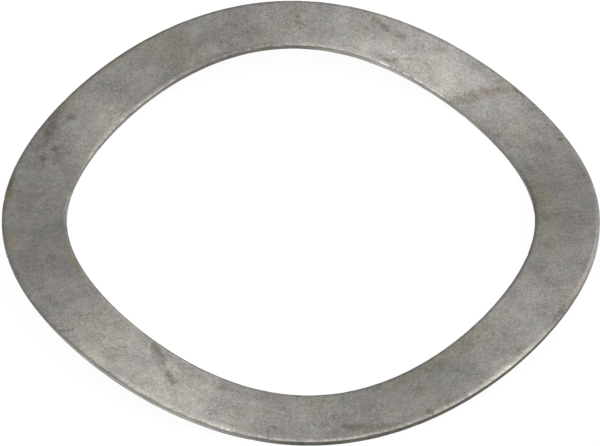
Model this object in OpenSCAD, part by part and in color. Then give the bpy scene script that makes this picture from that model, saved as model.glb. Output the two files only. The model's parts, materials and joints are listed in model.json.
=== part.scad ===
// Wave spring washer: one flat ring of spring steel strip, blanked, formed into even waves and tumbled.
// Millimetres. The ring's axis is Z, and the undersides of the troughs touch the plane z = 0.

/* [Ring] */
// Outside diameter, a little under the bearing's housing bore
outer_d = 61; // [54:0.5:90]
// Width of the strip, from the hole that clears the shaft out to the rim
strip_w = 6.65; // [3:0.05:12]
// Thickness of the strip
strip_t = 0.7; // [0.3:0.01:0.9]
// Reach of the tumbled edges across the faces
edge_reach = 0.6; // [0.05:0.05:1]
// Depth of the tumbled edges down the wall
edge_depth = 0.1; // [0.04:0.01:0.2]

/* [Waves] */
// Number of crests round the ring
wave_count = 3; // [2:1:6]
// Free height, from the plane under the troughs to the plane over the crests
free_height = 3.85; // [1.2:0.05:6]
// Direction of the first crest, in degrees from the +X axis
first_crest = 90; // [0:5:355]

/* [Hidden] */

inner_d = outer_d - 2 * strip_w;
outer_r = outer_d / 2;
inner_r = inner_d / 2;

// Half the rise of the strip's middle surface from a trough to a crest
wave_amplitude = (free_height - strip_t) / 2;

// A tumbled edge goes down at most this share of the strip's thickness
largest_edge_share = 0.4;
edge_drop = min(edge_depth, largest_edge_share * strip_t);

// Steps once round the ring, and along each rounded edge
ring_steps = 240;
edge_steps = 4;

// The formed strip stands past each rim by twice the sag of one step's chord, and is then cut to a true circle
rim_trim = 2 * outer_r * (1 - cos(180 / ring_steps));
// The round cutters reach this far below and above the waves
cutter_reach = 1;

steel = [0.62, 0.61, 0.59];

// Height of the strip's middle surface in direction a, and its rise for each radian of turn
function wave_height(a) = free_height / 2 + wave_amplitude * cos(wave_count * (a - first_crest));
function wave_rise(a) = -wave_count * wave_amplitude * sin(wave_count * (a - first_crest));

// The point in direction a at radius r, at distance n from the middle surface, measured square to the strip
function strip_point(a, r, n) =
    let (
        slope = wave_rise(a) / r,
        lean = n / sqrt(1 + slope * slope)
    )
    [
        r * cos(a) + lean * slope * sin(a),
        r * sin(a) - lean * slope * cos(a),
        wave_height(a) + lean
    ];

// One rounded edge of the strip's upper face as [radius, distance from the middle surface], from face to rim.
// outward is 1 at the outer rim and -1 at the inner one.
function rounded_edge(rim_r, outward) = [
    for (i = [0 : edge_steps])
        let (turn = 90 * i / edge_steps)
        [
            rim_r + outward * (rim_trim - edge_reach * (1 - sin(turn))),
            strip_t / 2 - edge_drop * (1 - cos(turn))
        ]
];

function reversed(points) = [for (i = [len(points) - 1 : -1 : 0]) points[i]];
function mirrored_below(points) = [for (p = points) [p[0], -p[1]]];

// The strip's section: across the upper face from the outer rim to the inner one, and back across the lower face
function strip_section() =
    let (
        outer = rounded_edge(outer_r, 1),
        inner = rounded_edge(inner_r, -1)
    )
    concat(reversed(outer), inner, reversed(mirrored_below(inner)), mirrored_below(outer));

// The strip's section carried once round the ring, over the waves
module formed_strip() {
    section = strip_section();
    n = len(section);
    points = [
        for (k = [0 : ring_steps - 1], p = section)
            strip_point(first_crest + 360 * k / ring_steps, p[0], p[1])
    ];
    function corner(k, j) = (k % ring_steps) * n + j % n;
    faces = [
        for (k = [0 : ring_steps - 1], j = [0 : n - 1])
            each [
                [corner(k, j), corner(k, j + 1), corner(k + 1, j + 1)],
                [corner(k, j), corner(k + 1, j + 1), corner(k + 1, j)]
            ]
    ];
    polyhedron(points, faces);
}

// A round cutter through the whole height of the waves
module rim_cutter(d) {
    translate([0, 0, -cutter_reach])
        cylinder(d = d, h = free_height + 2 * cutter_reach, $fn = ring_steps);
}

module spring_ring() {
    color(steel)
    difference() {
        intersection() {
            formed_strip();
            rim_cutter(outer_d);
        }
        rim_cutter(inner_d);
    }
}

spring_ring();
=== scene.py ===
"""A wave spring washer in tumbled grey spring steel, on a pale floor under a soft studio light."""

import json
import math
import random
from collections import namedtuple

import bpy
from mathutils import Matrix, Vector, noise


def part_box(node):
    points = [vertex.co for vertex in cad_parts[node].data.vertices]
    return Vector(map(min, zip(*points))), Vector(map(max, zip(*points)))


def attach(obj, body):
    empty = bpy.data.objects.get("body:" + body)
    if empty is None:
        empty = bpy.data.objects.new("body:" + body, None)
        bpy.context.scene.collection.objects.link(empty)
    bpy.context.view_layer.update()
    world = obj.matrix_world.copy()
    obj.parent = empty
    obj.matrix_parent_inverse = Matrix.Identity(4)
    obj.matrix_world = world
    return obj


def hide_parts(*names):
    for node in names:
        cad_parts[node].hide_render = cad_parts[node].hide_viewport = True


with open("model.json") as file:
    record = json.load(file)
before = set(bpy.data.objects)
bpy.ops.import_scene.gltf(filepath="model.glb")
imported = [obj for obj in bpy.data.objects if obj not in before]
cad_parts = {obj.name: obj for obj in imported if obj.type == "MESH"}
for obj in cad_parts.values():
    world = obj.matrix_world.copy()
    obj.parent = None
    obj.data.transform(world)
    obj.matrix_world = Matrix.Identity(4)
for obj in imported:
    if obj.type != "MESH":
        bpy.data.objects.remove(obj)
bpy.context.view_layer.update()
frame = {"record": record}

# Sizes of the ring, in metres
MM = 0.001
NODE = "spring_ring"
STRIP_T = 0.7 * MM
EDGE_DEPTH = 0.1 * MM
WAVE_COUNT = 3
FIRST_CREST = math.radians(90)
ring_low, ring_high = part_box(NODE)
mounts = {mount["name"]: mount for mount in frame["record"]["mounts"]}
OUTER_R = (ring_high.x - ring_low.x) / 2
INNER_R = mounts["shaft_hole"]["dims"]["r_mm"] * MM
STRIP_W = OUTER_R - INNER_R
MIDDLE_R = (OUTER_R + INNER_R) / 2
FREE_HEIGHT = ring_high.z - ring_low.z
WAVE_AMPLITUDE = (FREE_HEIGHT - STRIP_T) / 2

# Fineness of the ring's mesh
RING_STEPS = 900
FACE_STEPS = 8
ROLL_STEPS = 8
CORNER_STEPS = 4
WALL_STEPS = 10

# Wear of the rims: how far tumbling has rubbed them back, how long its uneven stretches are, and by what
# share the depth of the edges varies
RIM_WEAR = 0.012 * MM
RIM_WEAR_LENGTH = 1.6 * MM
EDGE_UNEVENNESS = 0.25
# A tumbled edge rolls down slowly from this far in to this share of its depth, and then turns over a crisp
# corner that reaches this far in
ROLL_REACH = 0.47 * MM
ROLL_SHARE = 0.8
CORNER_REACH = 0.02 * MM
# Nicks along each rim: their number, the least and greatest depth and half length, and the seeds of the
# two rims
NICK_COUNT = 16
NICK_DEPTH = (0.015 * MM, 0.04 * MM)
NICK_HALF_LENGTH = (0.15 * MM, 0.5 * MM)
OUTER_NICK_SEED = 3
INNER_NICK_SEED = 8
# Where the noise of each rim starts, and how far apart the noise of the wall's levels is
OUTER_NOISE = 20
INNER_NOISE = 120
WALL_NOISE_STEP = 10

# The sheared wall: its lower part broke away, below a wandering height, and lies a little further back
BREAK_DEPTH = 0.02 * MM
BREAK_HEIGHT = 0.02 * MM
BREAK_HEIGHT_RANGE = 0.08 * MM
BREAK_STEP = 0.04 * MM
BREAK_LENGTH = 2.5 * MM
BREAK_GRAIN = 0.006 * MM
BREAK_GRAIN_LENGTH = 0.25 * MM

# The zones of the ring's surface, in the order of its materials
UPPER, WALL, UNDERSIDE = range(3)

# The name under which the mesh keeps each point's depth below the upper face, as a share of the thickness
DEPTH_NAME = "depth"


def wave_height(angle):
    """Height of the strip's middle surface."""
    return FREE_HEIGHT / 2 + WAVE_AMPLITUDE * math.cos(WAVE_COUNT * (angle - FIRST_CREST))


def wave_rise(angle):
    """Rise of the middle surface for each radian of turn."""
    return -WAVE_COUNT * WAVE_AMPLITUDE * math.sin(WAVE_COUNT * (angle - FIRST_CREST))


def strip_point(angle, radius, distance):
    """The point at this distance from the middle surface, measured square to the strip."""
    slope = wave_rise(angle) / radius
    lean = distance / math.sqrt(1 + slope * slope)
    x = radius * math.cos(angle) + lean * slope * math.sin(angle)
    y = radius * math.sin(angle) - lean * slope * math.cos(angle)
    return Vector((x, y, wave_height(angle) + lean))


def along_rim(angle, radius, length, layer):
    """Smooth noise from -1 to 1 along a rim, with bumps about this long."""
    reach = radius / length
    return noise.noise(Vector((reach * math.cos(angle), reach * math.sin(angle), layer)))


def smooth_step(value):
    """0 below 0, 1 above 1, and a smooth rise between."""
    value = min(max(value, 0.0), 1.0)
    return value * value * (3 - 2 * value)


def make_nicks(seed):
    """Small dents along one rim, each an angle, a depth and a half length."""
    draw = random.Random(seed)
    return [
        (draw.uniform(0, math.tau), draw.uniform(*NICK_DEPTH), draw.uniform(*NICK_HALF_LENGTH))
        for _ in range(NICK_COUNT)
    ]


def nick_depth(nicks, angle, radius):
    """How deep the nicks of a rim are at this angle."""
    depth = 0.0
    for nick_angle, nick_size, half_length in nicks:
        turn = math.remainder(angle - nick_angle, math.tau)
        depth += nick_size * smooth_step(1 - abs(turn) * radius / half_length)
    return depth


def edge_curve():
    """A tumbled edge from face to wall, as (distance from the rim, depth below the face) for a depth of 1."""
    points = []
    for step in range(ROLL_STEPS):
        share = step / ROLL_STEPS
        points.append((CORNER_REACH + (ROLL_REACH - CORNER_REACH) * (1 - share), ROLL_SHARE * share**2))
    for step in range(CORNER_STEPS + 1):
        turn = math.pi / 2 * step / CORNER_STEPS
        points.append((CORNER_REACH * (1 - math.sin(turn)), 1 - (1 - ROLL_SHARE) * math.cos(turn)))
    return points


def rim_profile(angle, radius, outward, nicks, layer):
    """One rim from the upper face to the lower one, as (radius, distance, zone) points."""
    wear = RIM_WEAR * (1 + along_rim(angle, radius, RIM_WEAR_LENGTH, layer)) / 2
    wear += nick_depth(nicks, angle, radius)
    rim = radius - outward * wear
    upper = EDGE_DEPTH * (1 + EDGE_UNEVENNESS * along_rim(angle, radius, RIM_WEAR_LENGTH, layer + 1))
    lower = EDGE_DEPTH * (1 + EDGE_UNEVENNESS * along_rim(angle, radius, RIM_WEAR_LENGTH, layer + 2))
    break_height = BREAK_HEIGHT + BREAK_HEIGHT_RANGE * along_rim(angle, radius, BREAK_LENGTH, layer + 3)
    curve = edge_curve()
    points = [(rim - outward * inset, STRIP_T / 2 - upper * depth, UPPER) for inset, depth in curve]
    wall_top = STRIP_T / 2 - upper
    wall_bottom = lower - STRIP_T / 2
    for step in range(1, WALL_STEPS):
        height = wall_top + (wall_bottom - wall_top) * step / WALL_STEPS
        broken = smooth_step((break_height - height) / BREAK_STEP)
        grain = BREAK_GRAIN * along_rim(angle, radius, BREAK_GRAIN_LENGTH, layer + WALL_NOISE_STEP * step)
        points.append((rim - outward * broken * (BREAK_DEPTH + grain), height, WALL))
    for inset, depth in reversed(curve):
        points.append((rim - outward * (BREAK_DEPTH + inset), lower * depth - STRIP_T / 2, UNDERSIDE))
    return points


def face_points(start, end, zone):
    """The points of a flat face between its two rounded edges."""
    points = []
    for step in range(1, FACE_STEPS):
        share = step / FACE_STEPS
        radius = start[0] + (end[0] - start[0]) * share
        distance = start[1] + (end[1] - start[1]) * share
        points.append((radius, distance, zone))
    return points


def ring_sections():
    """The worn section carried round the waves: its points, their depths, and the zones of one section."""
    outer_nicks = make_nicks(OUTER_NICK_SEED)
    inner_nicks = make_nicks(INNER_NICK_SEED)
    places = []
    depths = []
    zones = []
    for step in range(RING_STEPS):
        angle = math.tau * step / RING_STEPS
        outer = rim_profile(angle, OUTER_R, 1, outer_nicks, OUTER_NOISE)
        inner = rim_profile(angle, INNER_R, -1, inner_nicks, INNER_NOISE)
        inner.reverse()
        section = outer + face_points(outer[-1], inner[0], UNDERSIDE)
        section += inner + face_points(inner[-1], outer[0], UPPER)
        places += [strip_point(angle, radius, distance) for radius, distance, _ in section]
        depths += [0.5 - distance / STRIP_T for _, distance, _ in section]
        zones = [zone for _, _, zone in section]
    return places, depths, zones


def make_ring():
    """The washer, with a material for each zone of its surface."""
    places, depths, zones = ring_sections()
    size = len(zones)
    faces = []
    for step in range(RING_STEPS):
        here = step * size
        there = (step + 1) % RING_STEPS * size
        for corner in range(size):
            after = (corner + 1) % size
            faces.append((here + corner, there + corner, there + after, here + after))
    mesh = bpy.data.meshes.new("waved_ring")
    mesh.from_pydata(places, [], faces)
    for number, face in enumerate(mesh.polygons):
        corner = number % size
        pair = {zones[corner], zones[(corner + 1) % size]}
        # A face between two zones belongs to the wall
        face.material_index = WALL if len(pair) > 1 else pair.pop()
        face.use_smooth = True
    mesh.validate()
    depth = mesh.attributes.new(DEPTH_NAME, "FLOAT", "POINT")
    depth.data.foreach_set("value", depths)
    ring = bpy.data.objects.new("waved_ring", mesh)
    bpy.context.scene.collection.objects.link(ring)
    return ring


# Keeps the part of a vector that lies square to the axis
FLAT = (1, 1, 0)
# Nearly all of the noise lies between these values
NOISE_LOW = 0.25
NOISE_HIGH = 0.75
# The numbers of the Mix node's sockets for colours, which share their names with other sockets
MIX_SHARE = 0
MIX_COLOUR = 6
MIX_TINT = 7
MIX_RESULT = 2


def add_node(tree, kind, inputs=None, **settings):
    """One shader node with its settings, and a link or a value for each input, by name or number."""
    made = tree.nodes.new(kind)
    for name, value in settings.items():
        setattr(made, name, value)
    for name, value in (inputs or {}).items():
        if isinstance(value, bpy.types.NodeSocket):
            tree.links.new(value, made.inputs[name])
        else:
            made.inputs[name].default_value = value
    return made


def maths(tree, operation, first, second=0.0, clamp=False):
    """One step of arithmetic on two numbers or sockets."""
    made = add_node(tree, "ShaderNodeMath", {0: first, 1: second}, operation=operation, use_clamp=clamp)
    return made.outputs[0]


def weighted(tree, value, weight, start):
    """The start value with a weighted value added to it."""
    made = add_node(tree, "ShaderNodeMath", {0: value, 1: weight, 2: start}, operation="MULTIPLY_ADD")
    return made.outputs[0]


def eased(tree, value, start, end, top=1.0):
    """A smooth change from 0 where the value is at the start to the top where it is at the end."""
    made = add_node(
        tree,
        "ShaderNodeMapRange",
        {"Value": value, "From Min": start, "From Max": end, "To Max": top},
        interpolation_type="SMOOTHSTEP",
    )
    return made.outputs["Result"]


def vectors(tree, operation, *values):
    """One step of arithmetic on vectors that gives a vector."""
    made = add_node(tree, "ShaderNodeVectorMath", dict(enumerate(values)), operation=operation)
    return made.outputs["Vector"]


def measured(tree, operation, *values):
    """One step of arithmetic on vectors that gives a number."""
    made = add_node(tree, "ShaderNodeVectorMath", dict(enumerate(values)), operation=operation)
    return made.outputs["Value"]


def scaled(tree, colour, share):
    """A colour made lighter or darker."""
    made = add_node(tree, "ShaderNodeVectorMath", {0: colour, "Scale": share}, operation="SCALE")
    return made.outputs["Vector"]


def tinted(tree, share, colour, tint, mode="MULTIPLY"):
    """A colour with a share of a tint laid over it."""
    made = add_node(
        tree,
        "ShaderNodeMix",
        {MIX_SHARE: share, MIX_COLOUR: colour, MIX_TINT: tint},
        data_type="RGBA",
        blend_type=mode,
        clamp_factor=True,
    )
    return made.outputs[MIX_RESULT]


def speckle(tree, place, size, detail=2.0, rough=0.5, spread=(-1.0, 1.0)):
    """Noise with grains about this many millimetres across, spread from a low to a high value."""
    low, high = spread
    grains = add_node(
        tree,
        "ShaderNodeTexNoise",
        {"Vector": place, "Scale": 1 / size, "Detail": detail, "Roughness": rough},
    )
    values = {"From Min": NOISE_LOW, "From Max": NOISE_HIGH, "To Min": low, "To Max": high}
    made = add_node(tree, "ShaderNodeMapRange", {"Value": grains.outputs["Fac"], **values}, clamp=False)
    return made.outputs["Result"]


def position(tree):
    """The place on the ring, in metres."""
    return add_node(tree, "ShaderNodeTexCoord").outputs["Object"]


def millimetres(tree, turn):
    """The place on the ring in millimetres, turned about the axis so that the two faces differ."""
    made = add_node(
        tree,
        "ShaderNodeMapping",
        {"Vector": position(tree), "Rotation": (0, 0, turn), "Scale": (1 / MM, 1 / MM, 1 / MM)},
    )
    return made.outputs[0]


def axis_distance(tree, where):
    """How far a place is from the axis."""
    return measured(tree, "LENGTH", vectors(tree, "MULTIPLY", where, FLAT))


def depth_share(tree):
    """The depth below the upper face, as a share of the thickness."""
    return add_node(tree, "ShaderNodeAttribute", attribute_name=DEPTH_NAME).outputs["Fac"]


def new_metal(name):
    """A new metal: the material, its node tree and its shader."""
    material = bpy.data.materials.new(name)
    material.use_nodes = True
    shader = material.node_tree.nodes["Principled BSDF"]
    shader.inputs["Metallic"].default_value = 1.0
    return material, material.node_tree, shader


def add_bumps(tree, shader, bumps, height):
    """Gives a metal small bumps of this height."""
    made = add_node(tree, "ShaderNodeBump", {"Strength": 1.0, "Distance": height, "Height": bumps})
    tree.links.new(made.outputs[0], shader.inputs["Normal"])


# A mark on a face: its angle round the ring, its place from hole (0) to rim (1), its length and width in
# millimetres, the lean of its length from the ring's own direction towards the rim, and its strength
Mark = namedtuple("Mark", "angle across length width lean strength")

# A mark fades out at this many times its own size, over this share of the way in to its middle
MARK_SPREAD = 1.35
MARK_FADE = 0.67

# The directions in which the strip is cut open to lay a set of marks out, where none of the set lies
SEAM = math.radians(17.5)
PAINTED_LIGHT_SEAM = math.radians(333)

# Stains of soot, rust and oil
SOOT_MARKS = (
    Mark(22.8, 0.88, 0.8, 0.5, 90, 0.85),
    Mark(38.2, 0.96, 2.0, 0.8, 0, 0.8),
    Mark(42.6, 0.52, 5.0, 0.9, -59, 0.15),
    Mark(65.0, 0.68, 1.6, 1.0, 10, 0.6),
    Mark(69.3, 0.765, 2.7, 0.75, 25, 0.6),
    Mark(86.4, 0.485, 2.0, 0.4, 33, 0.72),
    Mark(86.5, 0.38, 0.5, 0.45, 0, 0.45),
    Mark(142.1, 0.68, 1.0, 0.9, 0, 0.65),
    Mark(145.9, 0.86, 4.6, 1.0, -12, 0.65),
    Mark(149.4, 0.78, 3.2, 0.8, -10, 0.58),
    Mark(152.0, 0.575, 1.0, 0.9, 0, 1.0),
    Mark(153.9, 0.8, 2.0, 0.5, -8, 0.4),
    Mark(155.8, 0.66, 1.1, 0.7, -35, 0.72),
    Mark(200.8, 0.79, 0.8, 0.6, 0, 0.42),
    Mark(206.1, 0.7, 1.2, 0.6, 50, 0.4),
    Mark(213.2, 0.93, 1.8, 0.5, -60, 0.65),
    Mark(230.0, 0.13, 2.2, 0.9, 20, 0.65),
    Mark(233.0, 0.24, 1.6, 0.9, 45, 0.5),
    Mark(233.6, 0.33, 6.6, 1.1, 33, 0.42),
    Mark(236.6, 0.44, 2.6, 0.9, 36, 0.85),
    Mark(247.4, 0.11, 12.0, 2.2, 0, 0.33),
    Mark(259.9, 0.88, 1.9, 0.32, 88, 0.8),
    Mark(260.6, 0.76, 1.1, 0.7, 0, 0.7),
    Mark(261.9, 0.82, 1.8, 1.4, 0, 0.3),
    Mark(276.6, 0.76, 2.2, 1.1, 25, 0.72),
    Mark(281.2, 0.87, 4.4, 0.9, 8, 0.32),
    Mark(291.9, 0.93, 1.1, 0.5, 90, 0.4),
    Mark(326.0, 0.945, 4.2, 0.45, 0, 0.8),
    Mark(337.9, 0.24, 3.1, 2.1, 0, 0.35),
)

RUST_MARKS = (
    Mark(10.9, 0.85, 1.8, 1.0, 0, 0.18),
    Mark(43.0, 0.5, 7.4, 1.3, -59, 0.42),
    Mark(44.2, 0.25, 3.0, 1.6, -59, 0.8),
    Mark(56.8, 0.37, 1.2, 0.6, 0, 0.7),
    Mark(60.6, 0.31, 5.1, 0.45, -33, 0.38),
    Mark(64.6, 0.11, 1.3, 0.55, -15, 0.7),
    Mark(93.4, 0.94, 1.8, 0.6, 0, 0.75),
    Mark(159.9, 0.55, 1.9, 1.6, 0, 0.3),
    Mark(166.9, 0.95, 4.6, 0.6, 0, 0.8),
    Mark(188.2, 0.57, 0.9, 0.8, 0, 0.28),
    Mark(191.2, 0.36, 1.3, 1.1, 0, 0.8),
    Mark(268.9, 0.19, 1.2, 0.55, 70, 0.4),
    Mark(279.6, 0.83, 4.6, 1.1, 12, 0.38),
    Mark(291.9, 0.93, 1.3, 0.6, 90, 0.9),
    Mark(292.7, 0.44, 1.2, 1.2, 0, 0.5),
    Mark(296.2, 0.88, 1.1, 0.55, 90, 0.6),
    Mark(314.4, 0.87, 1.3, 0.7, 0, 0.65),
)

OLIVE_MARKS = (
    Mark(357.9, 0.22, 7.0, 2.2, 0, 0.45),
    Mark(4.9, 0.17, 6.0, 2.0, 0, 0.75),
    Mark(114.4, 0.5, 5.5, 6.5, 0, 0.35),
    Mark(130.4, 0.955, 14.0, 0.7, 0, 1.0),
    Mark(139.4, 0.93, 5.0, 0.8, 0, 0.4),
    Mark(166.9, 0.95, 5.0, 0.65, 0, 1.0),
    Mark(177.4, 0.95, 12.0, 0.6, 0, 0.5),
    Mark(183.9, 0.9, 3.8, 1.3, 0, 0.9),
    Mark(194.4, 0.06, 6.0, 0.8, 0, 1.0),
    Mark(300.4, 0.13, 15.0, 2.2, 0, 0.5),
    Mark(313.4, 0.2, 8.0, 2.0, 0, 0.3),
    Mark(350.4, 0.27, 7.0, 2.3, 0, 0.45),
)

# Places where the strip is a little lighter or duller: broad patches on the faces, and near the rims painted
# highlight and painted shade that set how bright the rounded edges show
LIGHT_MARKS = (
    Mark(219.0, 0.5, 9.0, 9.0, 0, 0.55),
    Mark(36.0, 0.5, 6.0, 8.0, 0, 0.15),
    Mark(135.5, 0.4, 5.0, 8.0, 0, 0.2),
    Mark(313.0, 0.5, 8.0, 7.0, 0, 0.18),
    Mark(239.0, 0.95, 12.0, 0.8, 0, 0.8),
    Mark(250.0, 0.945, 6.0, 0.7, 0, 0.75),
    Mark(309.0, 0.955, 7.0, 0.7, 0, 0.75),
    Mark(140.0, 0.06, 6.0, 0.7, 0, 0.2),
    Mark(357.0, 0.5, 11.0, 8.0, 0, 0.3),
    Mark(92.0, 0.5, 10.0, 8.0, 0, 0.17),
    Mark(104.0, 0.18, 11.0, 2.4, 0, 0.34),
    Mark(76.0, 0.5, 5.0, 8.0, 0, 0.12),
    Mark(171.0, 0.5, 15.0, 8.0, 0, 0.1),
    Mark(186.0, 0.5, 8.0, 8.0, 0, 0.1),
    Mark(235.5, 0.6, 4.0, 7.0, 0, 0.4),
    Mark(243.0, 0.6, 6.0, 7.0, 0, 0.1),
    Mark(275.0, 0.5, 6.0, 7.0, 0, 0.08),
    Mark(50.5, 0.04, 6.0, 0.9, 0, 0.3),
    Mark(220.5, 0.9, 5.0, 2.0, 0, 0.8),
)
DULL_AND_SHADE_MARKS = (
    Mark(264.0, 0.4, 9.0, 8.0, 0, 0.38),
    Mark(195.4, 0.5, 7.0, 8.0, 0, 0.12),
    Mark(337.0, 0.5, 9.0, 9.0, 0, 0.35),
    Mark(66.0, 0.6, 5.0, 6.0, 0, 0.24),
    Mark(147.0, 0.5, 7.0, 8.0, 0, 0.25),
    Mark(103.0, 0.02, 16.0, 0.9, 0, 0.85),
    Mark(125.5, 0.05, 6.0, 0.9, 0, 0.7),
    Mark(65.4, 0.13, 4.0, 1.4, 0, 0.6),
    Mark(293.0, 0.45, 12.0, 7.0, 0, 0.13),
)

# Places where one side of the strip is painted lighter or darker than the other: painted light and painted
# shade
PAINTED_LIGHT_SIDES = (
    Mark(6.0, 0.92, 4.0, 1.6, 0, 0.28),
    Mark(19.5, 0.14, 10.0, 3.6, 0, 0.42),
    Mark(51.5, 0.2, 8.0, 2.6, 0, 0.27),
    Mark(72.5, 0.3, 4.5, 3.2, 0, 0.22),
    Mark(91.5, 0.5, 6.0, 3.6, 0, 0.2),
    Mark(143.0, 0.14, 10.0, 3.4, 0, 0.45),
    Mark(171.5, 0.27, 6.0, 3.6, 0, 0.25),
    Mark(201.5, 0.5, 3.5, 3.0, 0, 0.3),
    Mark(201.5, 0.92, 3.5, 1.6, 0, 0.37),
    Mark(222.5, 0.88, 4.0, 2.0, 0, 0.27),
    Mark(239.0, 0.68, 7.0, 2.8, 0, 0.38),
    Mark(252.5, 0.8, 3.5, 3.5, 0, 0.2),
    Mark(270.0, 0.25, 6.0, 5.0, 0, 0.27),
    Mark(283.5, 0.78, 3.5, 3.5, 0, 0.27),
    Mark(307.0, 0.87, 6.5, 2.2, 0, 0.33),
    Mark(313.0, 0.35, 4.5, 2.4, 0, 0.2),
)
PAINTED_SHADE_SIDES = (
    Mark(357.5, 0.82, 4.0, 2.4, 0, 0.28),
    Mark(22.5, 0.95, 3.4, 1.6, 0, 0.5),
    Mark(41.5, 0.93, 12.0, 2.6, 0, 0.55),
    Mark(43.5, 0.08, 4.0, 1.8, 0, 0.6),
    Mark(63.5, 0.6, 5.0, 2.4, 0, 0.3),
    Mark(81.5, 0.5, 3.5, 2.6, 0, 0.3),
    Mark(143.5, 0.83, 9.0, 3.0, 0, 0.5),
    Mark(159.5, 0.7, 5.0, 2.0, 0, 0.3),
    Mark(190.5, 0.72, 4.0, 2.6, 0, 0.3),
    Mark(230.0, 0.06, 7.0, 2.2, 0, 0.65),
    Mark(259.5, 0.15, 4.0, 2.6, 0, 0.3),
    Mark(276.5, 0.82, 4.0, 2.4, 0, 0.35),
    Mark(283.5, 0.18, 4.0, 2.6, 0, 0.35),
)

# Small flecks painted brighter than the steel around them
FLECKS = (
    Mark(40.0, 0.41, 0.55, 0.35, 0, 0.6),
    Mark(61.8, 0.35, 0.6, 0.35, -30, 0.45),
    Mark(64.5, 0.31, 0.7, 0.4, -30, 0.75),
    Mark(64.5, 0.16, 0.7, 0.35, 0, 0.9),
    Mark(87.3, 0.24, 0.5, 0.35, 0, 0.55),
    Mark(134.9, 0.29, 0.55, 0.4, 60, 0.85),
    Mark(145.5, 0.69, 0.5, 0.4, 30, 0.6),
    Mark(262.7, 0.41, 0.65, 0.45, 20, 0.75),
    Mark(263.2, 0.54, 0.55, 0.45, 0, 0.65),
    Mark(268.4, 0.68, 0.5, 0.4, 90, 0.95),
)


# The steel's own colour, and the tints that its layers and marks are multiplied by; the light and dull tints
# also carry painted highlight, painted light and painted shade
STEEL = (0.34, 0.327, 0.306)
PINK_TINT = (1.045, 0.977, 1.005, 1)
GREEN_TINT = (0.96, 1.023, 1.0, 1)
YELLOW_TINT = (1.008, 1.0, 0.95, 1)
BLUE_TINT = (0.992, 1.0, 1.037, 1)
SOOT_TINT = (0.55, 0.51, 0.46, 1)
RUST_TINT = (0.78, 0.71, 0.61, 1)
OLIVE_TINT = (0.86, 0.84, 0.7, 1)
LIGHT_TINT = (1.41, 1.4, 1.36, 1)
FLECK_TINT = (1.38, 1.41, 1.45, 1)
DULL_AND_SHADE_TINT = (0.7, 0.7, 0.7, 1)

# Layers of the steel's mottling: the size of the blotches in millimetres, and how much they lighten or darken
MOTTLING = ((0.13, 0.24), (0.3, 0.155), (0.75, 0.08), (1.9, 0.095), (5.0, 0.155))
# Layers of faint colour: the size of the patches in millimetres, and the two tints between which they wander
HUES = ((1.6, PINK_TINT, GREEN_TINT), (3.5, YELLOW_TINT, BLUE_TINT))
# Sets of marks with their tints, in the order in which they are laid over the steel; the light and dull sets
# also hold painted highlight, painted light and painted shade
SPOTS = ((LIGHT_MARKS, LIGHT_TINT), (FLECKS, FLECK_TINT), (DULL_AND_SHADE_MARKS, DULL_AND_SHADE_TINT), (PAINTED_SHADE_SIDES, DULL_AND_SHADE_TINT))
STAINS = ((OLIVE_MARKS, OLIVE_TINT), (RUST_MARKS, RUST_TINT), (SOOT_MARKS, SOOT_TINT))

# The stains' edges wander this far in millimetres, with this many bumps to the millimetre
RAGGED = 1.0
RAGGED_BUMPS = 1.5
# The stains are thinner and thicker in patches of this many millimetres, by a factor in this range
STAIN_PATCH = 0.5
STAIN_RANGE = (0.4, 1.4)

# The rims, made smoother by tumbling and painted brighter, partly for their burnish and partly as painted
# highlight, as far in as this, in patches of this many millimetres
POLISH_REACH = 0.55 * MM
POLISH_AND_HIGHLIGHT_GAIN = 0.16
POLISH_ROUGHNESS = -0.08
POLISH_AND_HIGHLIGHT_PATCH = 1.0
POLISH_AND_HIGHLIGHT_RANGE = (-0.6, 2.0)

# How rough the steel is, how much rougher its stains are, and how much it varies in patches of this many
# millimetres
STEEL_ROUGHNESS = 0.43
STAIN_ROUGHNESS = 0.1
ROUGHNESS_RANGE = 0.03
ROUGHNESS_PATCH = 1.4
# The fine bumps of the surface: their width in millimetres, and their height
GRAIN_SIZE = 0.3
GRAIN_HEIGHT = 0.003 * MM

# A stretch of a rim: its radius, the angle of its middle, half its length in degrees, and its strength
Patch = namedtuple("Patch", "radius angle half_length strength")
# A stretch has its full strength within its reach divided by this
PATCH_FADE = 3

# A line along a rounded edge that paints highlight where its tint is above 1 and shade where it is below: its
# stretches of rim, the depths between which it sets in as shares of the thickness, the size of its breaks in
# millimetres, the range of the noise that breaks it, and its tint
EdgeLine = namedtuple("EdgeLine", "patches depths grain breaks tint")
# Tints of the edge lines, all painted light: painted shade, painted shade that dims a highlight, a painted
# highlight, a brighter painted highlight, painted glints, painted shade in flecks, and a painted glint
EDGE_SHADE_TINT = (0.55, 0.53, 0.5, 1)
HIGHLIGHT_SHADE_TINT = (0.66, 0.65, 0.63, 1)
EDGE_HIGHLIGHT_TINT = (1.12, 1.115, 1.11, 1)
LINE_HIGHLIGHT_TINT = (1.65, 1.64, 1.61, 1)
RIM_GLINT_TINT = (1.3, 1.29, 1.27, 1)
BROKEN_SHADE_TINT = (0.72, 0.71, 0.69, 1)
GLINT_TINT = (2.2, 2.18, 2.12, 1)
# Stretches of rim whose highlight is dimmed with painted shade
SHADED_HIGHLIGHT_PATCHES = (
    Patch(INNER_R, 140, 12, 0.4),
    Patch(INNER_R, 157.5, 12, 1.0),
    Patch(OUTER_R, 288, 15, 0.28),
    Patch(OUTER_R, 329.5, 14, 0.9),
)
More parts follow.
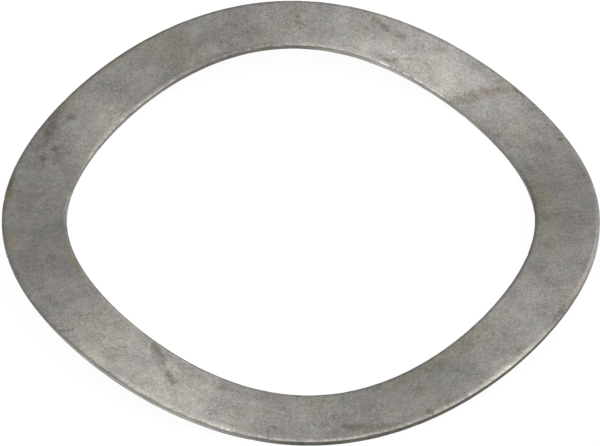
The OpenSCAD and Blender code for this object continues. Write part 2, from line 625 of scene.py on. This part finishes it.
# The lines along the rounded edges, in order: painted shade on the outer edge at the front left, painted
# highlight on it at the front and painted shade in its corner there, painted shade that dims the highlight on
# some stretches, a painted highlight on the edge of the hole at the back, painted glints along the front rim,
# painted shade in small flecks along the back of the hole, and a painted glint on the hole's edge
EDGE_LINES = (
    EdgeLine((Patch(OUTER_R, 234, 32, 1.0),), (0.02, 0.08), 2.5, (0.3, 1.3), EDGE_SHADE_TINT),
    EdgeLine((Patch(OUTER_R, 264, 20, 1.0),), (0.005, 0.03), 0.8, (-0.5, 2.1), EDGE_HIGHLIGHT_TINT),
    EdgeLine((Patch(OUTER_R, 274.5, 20, 1.0),), (0.08, 0.115), 1.5, (0.3, 1.3), EDGE_SHADE_TINT),
    EdgeLine(SHADED_HIGHLIGHT_PATCHES, (0.0, 0.04), 2.5, (0.7, 1.3), HIGHLIGHT_SHADE_TINT),
    EdgeLine((Patch(INNER_R, 58, 13, 1.0),), (0.035, 0.08), 0.5, (-0.9, 2.3), LINE_HIGHLIGHT_TINT),
    EdgeLine((Patch(OUTER_R, 272, 64, 1.0),), (0.01, 0.045), 0.35, (-1.6, 2.2), RIM_GLINT_TINT),
    EdgeLine((Patch(INNER_R, 113, 50, 1.0),), (0.01, 0.06), 0.4, (-1.6, 2.2), BROKEN_SHADE_TINT),
    EdgeLine((Patch(INNER_R, 126.5, 9, 1.0),), (0.07, 0.11), 0.8, (-0.4, 1.7), GLINT_TINT),
)


def unrolled(tree, place, seam):
    """The strip laid out straight: millimetres along it from opposite the seam, and the radius."""
    turned = add_node(
        tree, "ShaderNodeVectorRotate", {"Vector": place, "Angle": math.pi - seam}, rotation_type="Z_AXIS"
    )
    flat = vectors(tree, "MULTIPLY", turned.outputs[0], FLAT)
    parts = add_node(tree, "ShaderNodeSeparateXYZ", {"Vector": flat}).outputs
    along = maths(tree, "MULTIPLY", maths(tree, "ARCTAN2", parts["Y"], parts["X"]), MIDDLE_R / MM)
    radius = measured(tree, "LENGTH", flat)
    return add_node(tree, "ShaderNodeCombineXYZ", {"X": along, "Y": radius}).outputs[0]


def torn(tree, place, spot):
    """A spot on the strip pushed about at random, which gives the marks ragged edges."""
    bumps = add_node(
        tree, "ShaderNodeTexNoise", {"Vector": place, "Scale": RAGGED_BUMPS, "Detail": 4.0, "Roughness": 0.65}
    )
    pushed = vectors(tree, "MULTIPLY_ADD", bumps.outputs["Color"], (RAGGED, RAGGED, 0), spot)
    return vectors(tree, "SUBTRACT", pushed, (RAGGED / 2, RAGGED / 2, 0))


def mark_cover(tree, spot, marks, seam):
    """How much of each spot on the strip, unrolled from this seam, a set of marks covers, from 0 to 1."""
    cover = 0.0
    for mark in marks:
        turn = math.remainder(math.radians(mark.angle) + math.pi - seam, math.tau)
        local = add_node(
            tree,
            "ShaderNodeMapping",
            {
                "Vector": spot,
                "Location": (turn * MIDDLE_R / MM, (INNER_R + STRIP_W * mark.across) / MM, 0),
                "Rotation": (0, 0, math.radians(mark.lean)),
                "Scale": (MARK_SPREAD * mark.length / 2, MARK_SPREAD * mark.width / 2, 1),
            },
            vector_type="TEXTURE",
        ).outputs[0]
        near = add_node(tree, "ShaderNodeTexGradient", {"Vector": local}, gradient_type="SPHERICAL")
        strength = eased(tree, near.outputs["Fac"], 0.0, MARK_FADE, mark.strength)
        cover = maths(tree, "MAXIMUM", strength, cover)
    return cover


def patch_cover(tree, where, patches):
    """The strength that some stretches of the rims have here, added up."""
    cover = 0.0
    for patch in patches:
        turn = math.radians(patch.angle)
        centre = (patch.radius * math.cos(turn), patch.radius * math.sin(turn), FREE_HEIGHT / 2)
        reach = patch.radius * math.radians(patch.half_length)
        away = measured(tree, "DISTANCE", where, centre)
        cover = weighted(tree, eased(tree, away, reach, reach / PATCH_FADE), patch.strength, cover)
    return cover


def edge_cover(tree, where, place, line):
    """How much of a line along a rounded edge shows here, from 0 to 1."""
    depth = depth_share(tree)
    down = maths(tree, "MINIMUM", depth, maths(tree, "SUBTRACT", 1.0, depth))
    shown = eased(tree, down, *line.depths)
    broken = maths(tree, "MULTIPLY", shown, speckle(tree, place, line.grain, spread=line.breaks))
    return maths(tree, "MULTIPLY", broken, patch_cover(tree, where, line.patches), clamp=True)


def rim_polish(tree):
    """How much tumbling has polished the steel here: 0 on the faces, up to 1 at the rims."""
    radius = axis_distance(tree, position(tree))
    off_middle = maths(tree, "ABSOLUTE", maths(tree, "SUBTRACT", radius, MIDDLE_R))
    return eased(tree, off_middle, STRIP_W / 2 - POLISH_REACH, STRIP_W / 2)


def bare_steel(tree, place, polish):
    """The steel's colour: soft mottling, rims painted brighter as burnish and painted highlight, faint tints.
    """
    light = 1.0
    for size, weight in MOTTLING:
        light = weighted(tree, speckle(tree, place, size, detail=1.0), weight, light)
    # The rims painted brighter, partly burnish and partly painted highlight, in patches
    patches = speckle(tree, place, POLISH_AND_HIGHLIGHT_PATCH, detail=3.0, rough=0.6, spread=POLISH_AND_HIGHLIGHT_RANGE)
    light = weighted(tree, maths(tree, "MULTIPLY", polish, patches), POLISH_AND_HIGHLIGHT_GAIN, light)
    colour = scaled(tree, STEEL, light)
    for size, first_tint, second_tint in HUES:
        hue = speckle(tree, place, size, detail=4.0, rough=0.7, spread=(0.0, 1.0))
        colour = tinted(tree, 1.0, colour, tinted(tree, hue, first_tint, second_tint, "MIX"))
    return colour


def handled_steel(tree, place, colour):
    """The colour with its stains, marks, painted light and painted shade laid over it, and how much is
    stained.
    """
    # Patches of painted light on the faces
    painted_light = mark_cover(tree, unrolled(tree, place, PAINTED_LIGHT_SEAM), PAINTED_LIGHT_SIDES, PAINTED_LIGHT_SEAM)
    colour = tinted(tree, painted_light, colour, LIGHT_TINT)
    spot = unrolled(tree, place, SEAM)
    for marks, tint in SPOTS:
        colour = tinted(tree, mark_cover(tree, spot, marks, SEAM), colour, tint)
    ragged_spot = torn(tree, place, spot)
    patches = speckle(tree, place, STAIN_PATCH, rough=0.6, spread=STAIN_RANGE)
    stained = 0.0
    for marks, tint in STAINS:
        cover = maths(tree, "MULTIPLY", mark_cover(tree, ragged_spot, marks, SEAM), patches, clamp=True)
        colour = tinted(tree, cover, colour, tint)
        stained = maths(tree, "MAXIMUM", cover, stained)
    return colour, stained


def make_steel(name, turn):
    """Tumbled spring steel: fine grain, soft mottling, faint tints, stains of handling, and painted light and
    shade.
    """
    material, tree, shader = new_metal(name)
    place = millimetres(tree, turn)
    polish = rim_polish(tree)
    colour, stained = handled_steel(tree, place, bare_steel(tree, place, polish))
    where = position(tree)
    # Lines of painted highlight and painted shade along the rounded edges
    for line in EDGE_LINES:
        colour = tinted(tree, edge_cover(tree, where, place, line), colour, line.tint)
    tree.links.new(colour, shader.inputs["Base Color"])
    rough = weighted(tree, stained, STAIN_ROUGHNESS, STEEL_ROUGHNESS)
    rough = weighted(tree, polish, POLISH_ROUGHNESS, rough)
    rough = weighted(tree, speckle(tree, place, ROUGHNESS_PATCH), ROUGHNESS_RANGE, rough)
    tree.links.new(rough, shader.inputs["Roughness"])
    add_bumps(tree, shader, speckle(tree, place, GRAIN_SIZE, rough=0.7), GRAIN_HEIGHT)
    return material


# The sheared walls: their colour and how light it is, how much lighter the wall of the hole is, and their
# roughness
SHEARED_STEEL = (0.13, 0.122, 0.106)
WALL_LEVEL = 0.92
INNER_WALL_GAIN = 0.4
WALL_ROUGHNESS = 0.5
# Upright streaks: their width in millimetres, the share of their height that counts, which draws them out,
# what they add to the colour and the roughness, and the height of their bumps
STREAK_WIDTH = 0.25
STREAK_UPRIGHT = 0.3
STREAK_WEIGHT = 0.32
STREAK_ROUGHNESS = 0.06
STREAK_HEIGHT = 0.004 * MM
# Blotches: their size in millimetres, and what they add to the colour
BLOTCH_SIZE = 2.5
BLOTCH_WEIGHT = 0.12
# Scratches along the walls: their length, their height as a share of the thickness, and what they add to
# the colour of the walls and to the band of painted sheen
SCRATCH_LENGTH = 2.0 * MM
SCRATCH_HEIGHT = 0.22
SCRATCH_WEIGHT = 0.15
BAND_SCRATCHES = 0.25
# The colour of the painted sheen, a painted reflection laid on the walls, and the stretches where it is
# painted, one of them a painted glint on the wall of the hole
WALL_SHEEN_COLOUR = (0.13, 0.129, 0.1245)
WALL_SHEEN_PATCHES = (
    Patch(OUTER_R, 234, 32, 2.3),
    Patch(INNER_R, 48.5, 26, 1.2),
    Patch(INNER_R, 61, 6, 0.3),
    Patch(INNER_R, 71, 17, 1.45),
    Patch(INNER_R, 126.5, 8, 0.6),
    Patch(INNER_R, 140.5, 12, 0.4),
)
# The depths between which the band of painted sheen starts and ends, as shares of the thickness, and how much
# of the painted sheen is in that band
BAND_TOP = (0.22, 0.38)
BAND_FOOT = (0.68, 0.86)
BAND_SHARE = 0.8


def wall_scratches(tree, where, depth):
    """Noise drawn out along the walls."""
    height = maths(tree, "DIVIDE", depth, SCRATCH_HEIGHT)
    level = add_node(tree, "ShaderNodeCombineXYZ", {"Z": height}).outputs[0]
    along = (1 / SCRATCH_LENGTH, 1 / SCRATCH_LENGTH, 0)
    return speckle(tree, vectors(tree, "MULTIPLY_ADD", where, along, level), 1.0, detail=1.0)


def wall_sheen(tree, where, depth, scratches):
    """How much painted sheen the wall has here, mostly in a scratched band along its middle."""
    above = eased(tree, depth, *BAND_TOP)
    below = eased(tree, depth, *BAND_FOOT)
    band = weighted(tree, scratches, BAND_SCRATCHES, maths(tree, "SUBTRACT", above, below))
    share = weighted(tree, band, BAND_SHARE, 1 - BAND_SHARE)
    return maths(tree, "MULTIPLY", patch_cover(tree, where, WALL_SHEEN_PATCHES), share)


def make_sheared_steel():
    """The wall that the blanking punch left: dark, with upright streaks, long scratches and bands of painted
    sheen.
    """
    material, tree, shader = new_metal("sheared_steel")
    where = position(tree)
    place = vectors(tree, "MULTIPLY", where, (1 / MM, 1 / MM, STREAK_UPRIGHT / MM))
    depth = depth_share(tree)
    streaks = speckle(tree, place, STREAK_WIDTH, rough=0.6)
    scratches = wall_scratches(tree, where, depth)
    light = weighted(tree, streaks, STREAK_WEIGHT, WALL_LEVEL)
    light = weighted(tree, speckle(tree, place, BLOTCH_SIZE), BLOTCH_WEIGHT, light)
    light = weighted(tree, scratches, SCRATCH_WEIGHT, light)
    in_hole = maths(tree, "LESS_THAN", axis_distance(tree, where), MIDDLE_R)
    light = weighted(tree, in_hole, INNER_WALL_GAIN, light)
    dark = scaled(tree, SHEARED_STEEL, light)
    # Painted sheen, a painted reflection, laid on stretches of the walls
    sheen = scaled(tree, WALL_SHEEN_COLOUR, wall_sheen(tree, where, depth, scratches))
    tree.links.new(vectors(tree, "ADD", dark, sheen), shader.inputs["Base Color"])
    tree.links.new(weighted(tree, streaks, STREAK_ROUGHNESS, WALL_ROUGHNESS), shader.inputs["Roughness"])
    add_bumps(tree, shader, streaks, STREAK_HEIGHT)
    return material


# The floor: half its side, how far it lies below the ring, how much light it throws back, and how it shows,
# which is a pale shade that takes the shadow and a glow just short of white
FLOOR_HALF = 4.0
FLOOR_GAP = 0.01 * MM
FLOOR_BOUNCE = 0.8
FLOOR_SHADE = 0.09
FLOOR_GLOW = 0.93


def make_floor():
    """A pale floor that shows white, with a faint shadow of the ring on it."""
    mesh = bpy.data.meshes.new("floor")
    corners = [(x * FLOOR_HALF, y * FLOOR_HALF, -FLOOR_GAP) for x, y in ((-1, -1), (1, -1), (1, 1), (-1, 1))]
    mesh.from_pydata(corners, [], [(0, 1, 2, 3)])
    floor = bpy.data.objects.new("floor", mesh)
    bpy.context.scene.collection.objects.link(floor)
    material = bpy.data.materials.new("pale_floor")
    material.use_nodes = True
    tree = material.node_tree
    tree.nodes.clear()
    path = add_node(tree, "ShaderNodeLightPath").outputs
    mirrored = maths(tree, "MAXIMUM", path["Is Glossy Ray"], path["Is Transmission Ray"])
    seen = maths(tree, "MAXIMUM", path["Is Camera Ray"], mirrored)
    paper = add_node(tree, "ShaderNodeBsdfDiffuse", {"Color": (FLOOR_BOUNCE,) * 3 + (1,)})
    shade = add_node(tree, "ShaderNodeBsdfDiffuse", {"Color": (FLOOR_SHADE,) * 3 + (1,)})
    glow = add_node(tree, "ShaderNodeEmission", {"Color": (1, 1, 1, 1), "Strength": FLOOR_GLOW})
    shown = add_node(tree, "ShaderNodeAddShader", {0: shade.outputs[0], 1: glow.outputs[0]})
    mixed = add_node(tree, "ShaderNodeMixShader", {0: seen, 1: paper.outputs[0], 2: shown.outputs[0]})
    output = add_node(tree, "ShaderNodeOutputMaterial")
    tree.links.new(mixed.outputs[0], output.inputs["Surface"])
    mesh.materials.append(material)


# The studio light: one soft panel behind and to the right, and a room that is brighter in front on that side,
# with its middle level and how much it grows in each direction
PANEL_DIRECTION = Vector((0.42, 0.57, 0.71)).normalized()
PANEL_DISTANCE = 7 * OUTER_R
PANEL_SIZE = 2.1 * OUTER_R
PANEL_RADIANCE = 2.4
ROOM_LIGHT = 0.82
ROOM_SLOPE = Vector((0.55, -0.65, 0.42))


def make_panel():
    """A round panel that faces the ring."""
    lamp = bpy.data.lights.new("soft_panel", "AREA")
    lamp.shape = "DISK"
    lamp.size = PANEL_SIZE
    disk_area = math.pi * PANEL_SIZE**2 / 4
    lamp.energy = PANEL_RADIANCE * math.pi * disk_area
    panel = bpy.data.objects.new("soft_panel", lamp)
    panel.location = PANEL_DIRECTION * PANEL_DISTANCE
    panel.rotation_mode = "QUATERNION"
    panel.rotation_quaternion = PANEL_DIRECTION.to_track_quat("Z", "Y")
    bpy.context.scene.collection.objects.link(panel)


def make_room():
    """The room's own soft light, which grows along one direction."""
    world = bpy.data.worlds.new("room")
    world.use_nodes = True
    tree = world.node_tree
    background = tree.nodes["Background"]
    direction = add_node(tree, "ShaderNodeTexCoord").outputs["Generated"]
    towards = measured(tree, "DOT_PRODUCT", direction, ROOM_SLOPE)
    strength = maths(tree, "MAXIMUM", maths(tree, "ADD", towards, ROOM_LIGHT), 0.0)
    tree.links.new(strength, background.inputs["Strength"])
    background.inputs["Color"].default_value = (1, 1, 1, 1)
    bpy.context.scene.world = world


# The camera, far off and looking down, with the ring's place and size in a picture of this many pixels
IMAGE_WIDTH = 600
IMAGE_HEIGHT = 446
SENSOR = 36.0
CAMERA_AZIMUTH = math.radians(-4.5)
CAMERA_ELEVATION = math.radians(44.55)
CAMERA_ROLL = math.radians(0.965)
CAMERA_DISTANCE = 50 * OUTER_R
OUTER_R_PIXELS = 299.1
RING_CENTRE_PIXEL = (300.85, 220.3)


def make_camera():
    """A long lens on the ring's axis at half its height."""
    lens = bpy.data.cameras.new("camera")
    lens.sensor_width = SENSOR
    lens.lens = SENSOR / IMAGE_WIDTH * OUTER_R_PIXELS * CAMERA_DISTANCE / OUTER_R
    lens.shift_x = (IMAGE_WIDTH / 2 - RING_CENTRE_PIXEL[0]) / IMAGE_WIDTH
    lens.shift_y = (RING_CENTRE_PIXEL[1] - IMAGE_HEIGHT / 2) / IMAGE_WIDTH
    camera = bpy.data.objects.new("camera", lens)
    flat = math.cos(CAMERA_ELEVATION)
    back = Vector(
        (
            math.sin(CAMERA_AZIMUTH) * flat,
            -math.cos(CAMERA_AZIMUTH) * flat,
            math.sin(CAMERA_ELEVATION),
        )
    )
    camera.rotation_mode = "QUATERNION"
    upright = (-back).to_track_quat("-Z", "Y")
    camera.rotation_quaternion = upright @ Matrix.Rotation(CAMERA_ROLL, 4, "Z").to_quaternion()
    camera.location = Vector((0, 0, FREE_HEIGHT / 2)) + back * CAMERA_DISTANCE
    bpy.context.scene.collection.objects.link(camera)
    bpy.context.scene.camera = camera


# The underside has the same steel, turned this far round the axis
UNDERSIDE_TURN = math.radians(140)

ring = make_ring()
ring.data.materials.append(make_steel("spring_steel", 0.0))
ring.data.materials.append(make_sheared_steel())
ring.data.materials.append(make_steel("spring_steel_underside", UNDERSIDE_TURN))
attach(ring, "root")
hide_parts(NODE)
make_floor()
make_panel()
make_room()
make_camera()
bpy.context.scene.view_settings.view_transform = "Standard"
